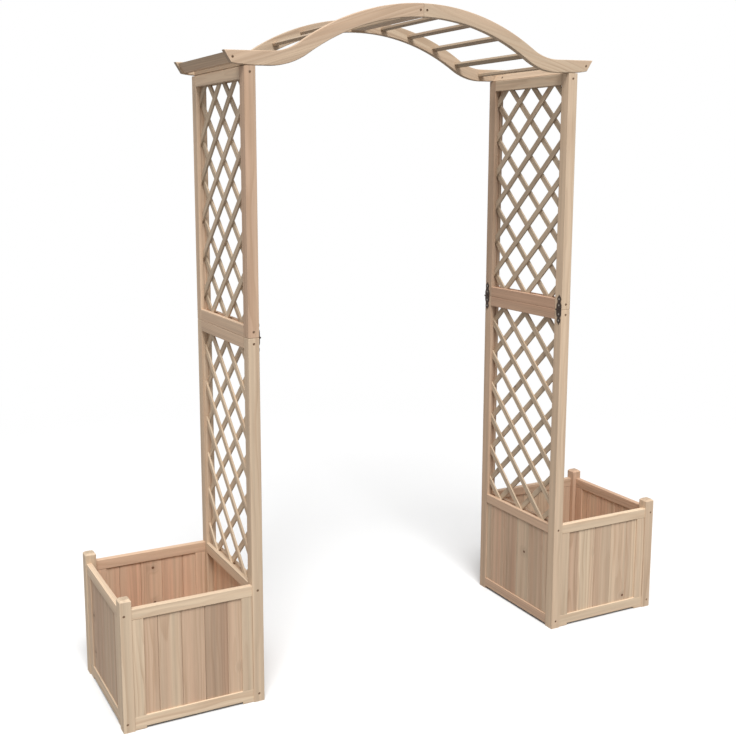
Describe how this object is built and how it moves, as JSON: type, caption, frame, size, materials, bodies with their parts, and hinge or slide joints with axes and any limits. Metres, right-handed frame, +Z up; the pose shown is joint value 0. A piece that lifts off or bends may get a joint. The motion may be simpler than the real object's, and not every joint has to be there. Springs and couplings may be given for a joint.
{
  "type": "garden arch",
  "caption": "Free-standing wooden garden arch: a planter box on each side, lattice panels that fold on hinges, and a curved lift-off roof of beams and rungs.",
  "frame": {"origin": "on the ground, in the middle of the passage and of the depth", "axes": "+X across the passage to the right seen from the front, +Y from front to rear, +Z up"},
  "size_m": [1.976, 0.42, 2.0779],
  "materials": {
    "fir_frame": "bare planed fir, matte",
    "fir_boards": "bare planed fir boards, matte, tones vary",
    "fir_lattice": "bare sawn fir strips, matte",
    "fir_roof": "bare planed fir, matte",
    "dowel_wood": "turned hardwood, hidden",
    "hinge_bronze": "dark bronze coating, satin",
    "screw_steel": "darkened zinc-plated steel"
  },
  "bodies": {
    "stands": {"left_lower_front_stile": "fir_frame", "left_lower_rear_stile": "fir_frame", "left_lower_top_rail": "fir_frame", "left_lower_lattice": "fir_lattice", "left_planter_inner_rails": "fir_frame", "left_planter_inner_boards": "fir_boards", "left_planter_front_post": "fir_frame", "left_planter_rear_post": "fir_frame", "left_planter_front_frame": "fir_frame", "left_planter_rear_frame": "fir_frame", "left_planter_outer_frame": "fir_frame", "left_planter_boards": "fir_boards", "left_planter_floor_bearers": "fir_frame", "left_planter_floor_boards": "fir_boards", "left_stand_screws": "screw_steel", "left_hinge_lower_leaves": "hinge_bronze", "left_hinge_pins": "hinge_bronze", "right_lower_front_stile": "fir_frame", "right_lower_rear_stile": "fir_frame", "right_lower_top_rail": "fir_frame", "right_lower_lattice": "fir_lattice", "right_planter_inner_rails": "fir_frame", "right_planter_inner_boards": "fir_boards", "right_planter_front_post": "fir_frame", "right_planter_rear_post": "fir_frame", "right_planter_front_frame": "fir_frame", "right_planter_rear_frame": "fir_frame", "right_planter_outer_frame": "fir_frame", "right_planter_boards": "fir_boards", "right_planter_floor_bearers": "fir_frame", "right_planter_floor_boards": "fir_boards", "right_stand_screws": "screw_steel", "right_hinge_lower_leaves": "hinge_bronze", "right_hinge_pins": "hinge_bronze", "planter_dowels": "dowel_wood"},
    "left_upper": {"left_upper_front_stile": "fir_frame", "left_upper_rear_stile": "fir_frame", "left_upper_top_rail": "fir_frame", "left_upper_bottom_rail": "fir_frame", "left_upper_lattice": "fir_lattice", "left_upper_screws": "screw_steel", "left_hinge_upper_leaves": "hinge_bronze"},
    "right_upper": {"right_upper_front_stile": "fir_frame", "right_upper_rear_stile": "fir_frame", "right_upper_top_rail": "fir_frame", "right_upper_bottom_rail": "fir_frame", "right_upper_lattice": "fir_lattice", "right_upper_screws": "screw_steel", "right_hinge_upper_leaves": "hinge_bronze"},
    "roof": {"front_beam_left": "fir_roof", "front_beam_right": "fir_roof", "rear_beam_left": "fir_roof", "rear_beam_right": "fir_roof", "roof_rungs": "fir_roof", "crown_block": "fir_roof", "roof_end_boards": "fir_roof", "left_seat_cleat": "fir_roof", "right_seat_cleat": "fir_roof", "roof_screws": "screw_steel"}
  },
  "joints": [
    {"name": "left_fold", "type": "hinge", "parent": "stands", "child": "left_upper", "pos_m": [-0.5419, 0, 1.122], "axis": [0, 1, 0], "range_deg": [0, 180]},
    {"name": "right_fold", "type": "hinge", "parent": "stands", "child": "right_upper", "pos_m": [0.5419, 0, 1.122], "axis": [0, -1, 0], "range_deg": [0, 180]},
    {"name": "roof_lift", "type": "slide", "parent": "stands", "child": "roof", "axis": [0, 0, 1], "range_m": [0, 0.3]}
  ]
}
